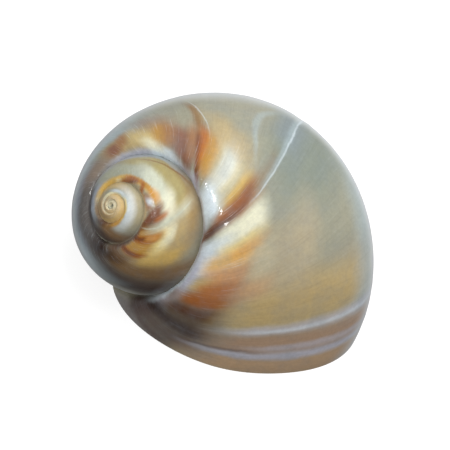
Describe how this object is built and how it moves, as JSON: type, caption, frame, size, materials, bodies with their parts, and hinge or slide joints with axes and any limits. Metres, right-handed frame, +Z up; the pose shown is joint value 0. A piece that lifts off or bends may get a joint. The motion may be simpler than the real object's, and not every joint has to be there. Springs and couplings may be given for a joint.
{
  "type": "moon snail shell",
  "caption": "Empty moon snail shell: low coiled spire, large round last whorl and half-moon aperture, resting on the flat rim of that aperture.",
  "frame": {"origin": "centre of the bounding box's base, in the plane of the aperture rim that the shell rests on", "axes": "+X towards the outer lip of the aperture, away from the spire; +Y towards the back, so that the spire's face looks towards -Y; +Z up through the body whorl"},
  "size_m": [0.0348, 0.0258, 0.0223],
  "materials": {
    "shell": "glossy, porcelain-like aragonite with fine growth lines: cream, tan, orange-brown and grey bands, polished where it is wet"
  },
  "bodies": {
    "root": {"shell": "shell"}
  },
  "joints": []
}
